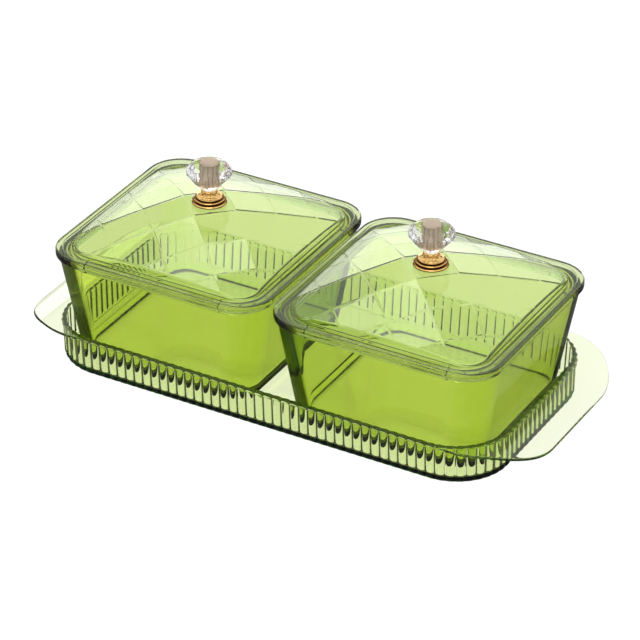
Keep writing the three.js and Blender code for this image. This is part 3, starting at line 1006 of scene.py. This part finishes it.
def make_materials():
    """One material for each of the record's slots."""
    base_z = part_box("knob_base_left")[0].z
    return {
        "tray_plastic": clear_plastic("tray_plastic", TRAY_PER_MM, CLEAR_TINTS, 1.5,
                                      (0.0, 0.02), 0.02 * MM),
        "bowl_plastic": clear_plastic("bowl_plastic", BOWL_PER_MM, CLEAR_TINTS, 1.5,
                                      (0.0, 0.02), 0.02 * MM),
        "lid_plastic": clear_plastic("lid_plastic", LID_PER_MM, LID_TINTS, 1.5,
                                     (0.0, 0.02), 0.01 * MM),
        "crystal": clear_plastic("crystal", None, CLEAR_TINTS, 1.6,
                                 (0.0, 0.01), 0.002 * MM),
        "washer_plastic": clear_plastic("washer_plastic", None, CLEAR_TINTS, 1.46,
                                        (0.2, 0.4), 0.01 * MM),
        "gold": polished_metal("gold", ((0.97, 0.66, 0.26), (0.90, 0.55, 0.18)),
                               (0.04, 0.12), 160, [base_z + height for height in GROOVES]),
        "screw_metal": polished_metal("screw_metal", ((0.70, 0.69, 0.66), (0.62, 0.61, 0.58)),
                                      (0.18, 0.34), 220),
    }


# ---------------------------------------------------------------- light, floor and camera

def direction_parts(nodes, links):
    """The world's azimuth and elevation in radians, azimuth 0 towards the -Y side."""
    place = nodes.new("ShaderNodeTexCoord")
    parts = nodes.new("ShaderNodeSeparateXYZ")
    links.new(place.outputs["Generated"], parts.inputs[0])
    flipped = maths(nodes, links, "MULTIPLY", parts.outputs["Y"], -1)
    azimuth = maths(nodes, links, "ARCTAN2", parts.outputs["X"], flipped)
    elevation = maths(nodes, links, "ARCSINE", parts.outputs["Z"])
    return azimuth, elevation


def make_world():
    """Soft pale light that grows from the horizon upwards, with soft boxes in it."""
    world = bpy.data.worlds.new("studio")
    world.use_nodes = True
    bpy.context.scene.world = world
    nodes, links = world.node_tree.nodes, world.node_tree.links
    azimuth, elevation = direction_parts(nodes, links)
    climb = nodes.new("ShaderNodeMapRange")
    climb.interpolation_type = "SMOOTHSTEP"
    climb.inputs["From Min"].default_value = math.radians(WORLD_CLIMB[0])
    climb.inputs["From Max"].default_value = math.radians(WORLD_CLIMB[1])
    climb.inputs["To Min"].default_value = WORLD_LOW
    climb.inputs["To Max"].default_value = WORLD_HIGH
    links.new(elevation, climb.inputs["Value"])
    total = climb.outputs["Result"]
    for middle_az, middle_el, half_az, half_el, strength in SOFT_BOXES:
        across = soft_window(nodes, links, azimuth, math.radians(middle_az),
                             math.radians(half_az), math.radians(SOFT_BOX_EDGE))
        upward = soft_window(nodes, links, elevation, math.radians(middle_el),
                             math.radians(half_el), math.radians(SOFT_BOX_EDGE))
        both = maths(nodes, links, "MULTIPLY", across, upward)
        total = maths(nodes, links, "ADD", total, maths(nodes, links, "MULTIPLY", both, strength))
    links.new(total, nodes["Background"].inputs["Strength"])
    nodes["Background"].inputs["Color"].default_value = (1, 1, 1, 1)


def make_floor():
    """Pale paper that glows evenly where it is seen directly, so that the plastic casts no hard
    shadow on it. In reflections it is dull close to the object, which keeps the dark edge lines
    that clear plastic has in a studio, and bright far away."""
    mesh = bpy.data.meshes.new("floor")
    corners = [(-FLOOR_HALF, -FLOOR_HALF, 0), (FLOOR_HALF, -FLOOR_HALF, 0),
               (FLOOR_HALF, FLOOR_HALF, 0), (-FLOOR_HALF, FLOOR_HALF, 0)]
    mesh.from_pydata(corners, [], [(0, 1, 2, 3)])
    floor = add_object("floor", mesh)
    floor.location.z = -FLOOR_GAP
    material, nodes, links, shader = new_material("floor_paper")
    shader.inputs["Base Color"].default_value = (FLOOR_WHITE,) * 3 + (1,)
    shader.inputs["Roughness"].default_value = 1
    shader.inputs["Specular IOR Level"].default_value = 0
    shader.inputs["Emission Color"].default_value = (1, 1, 1, 1)
    place = nodes.new("ShaderNodeTexCoord")
    away = nodes.new("ShaderNodeVectorMath")
    away.operation = "LENGTH"
    links.new(place.outputs["Object"], away.inputs[0])
    reflected = nodes.new("ShaderNodeMapRange")
    reflected.inputs["From Min"].default_value = FLOOR_REACH[0]
    reflected.inputs["From Max"].default_value = FLOOR_REACH[1]
    reflected.inputs["To Min"].default_value = FLOOR_GLOW_REFLECTED[0]
    reflected.inputs["To Max"].default_value = FLOOR_GLOW_REFLECTED[1]
    links.new(away.outputs["Value"], reflected.inputs["Value"])
    path = nodes.new("ShaderNodeLightPath")
    glow = nodes.new("ShaderNodeMapRange")
    glow.inputs["To Min"].default_value = FLOOR_GLOW
    links.new(reflected.outputs["Result"], glow.inputs["To Max"])
    links.new(path.outputs["Glossy Depth"], glow.inputs["Value"])
    links.new(glow.outputs["Result"], shader.inputs["Emission Strength"])
    floor.data.materials.append(material)


def make_camera():
    """The camera looks at its target from its azimuth, elevation and distance."""
    azimuth, elevation, roll = (math.radians(angle) for angle in CAMERA_ANGLES)
    back = Vector((math.sin(azimuth) * math.cos(elevation),
                   -math.cos(azimuth) * math.cos(elevation), math.sin(elevation)))
    level = Vector((math.cos(azimuth), math.sin(azimuth), 0))
    upright = back.cross(level)
    right = math.cos(roll) * level + math.sin(roll) * upright
    up = math.cos(roll) * upright - math.sin(roll) * level
    data = bpy.data.cameras.new("camera")
    data.sensor_width = CAMERA_SENSOR
    data.lens = CAMERA_LENS
    data.shift_x, data.shift_y = CAMERA_SHIFT
    data.clip_start, data.clip_end = CAMERA_CLIP
    camera = add_object("camera", data)
    turn = Matrix((right, up, back)).transposed().to_4x4()
    camera.matrix_world = Matrix.Translation(CAMERA_TARGET + CAMERA_DISTANCE * back) @ turn
    bpy.context.scene.camera = camera


def set_light_paths():
    """Enough bounces for light to cross the many walls of clear plastic."""
    scene = bpy.context.scene
    scene.view_settings.view_transform = "Standard"
    scene.view_settings.look = "None"
    cycles = scene.cycles
    cycles.max_bounces = LIGHT_BOUNCES
    cycles.transmission_bounces = LIGHT_BOUNCES
    cycles.glossy_bounces = LIGHT_BOUNCES // 2
    cycles.transparent_max_bounces = LIGHT_BOUNCES
    cycles.diffuse_bounces = 2
    cycles.volume_bounces = 0
    cycles.caustics_refractive = True
    cycles.caustics_reflective = True
    cycles.sample_clamp_indirect = INDIRECT_LIMIT
    cycles.use_denoising = True


# ---------------------------------------------------------------- everything together

materials = make_materials()
crystal_low, crystal_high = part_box("knob_crystal_right")
gild_socket(materials["crystal"], (crystal_low.x + crystal_high.x) / 2, crystal_low.z)
finishes = [(make_tray(), "tray_plastic")]
for side in SIDES:
    finishes.append((make_bowl(side), "bowl_plastic"))
    finishes.append((make_lid(side), "lid_plastic"))
    finishes.append((make_knob_base(side), "gold"))
    finishes.append((make_crystal(side), "crystal"))
    finishes.append((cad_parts[f"knob_screw_{side}"], "screw_metal"))
    finishes.append((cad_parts[f"knob_washer_{side}"], "washer_plastic"))
for piece, finish in finishes:
    piece.data.materials.clear()
    piece.data.materials.append(materials[finish])

make_world()
make_floor()
make_camera()
set_light_paths()

bpy.context.view_layer.update()
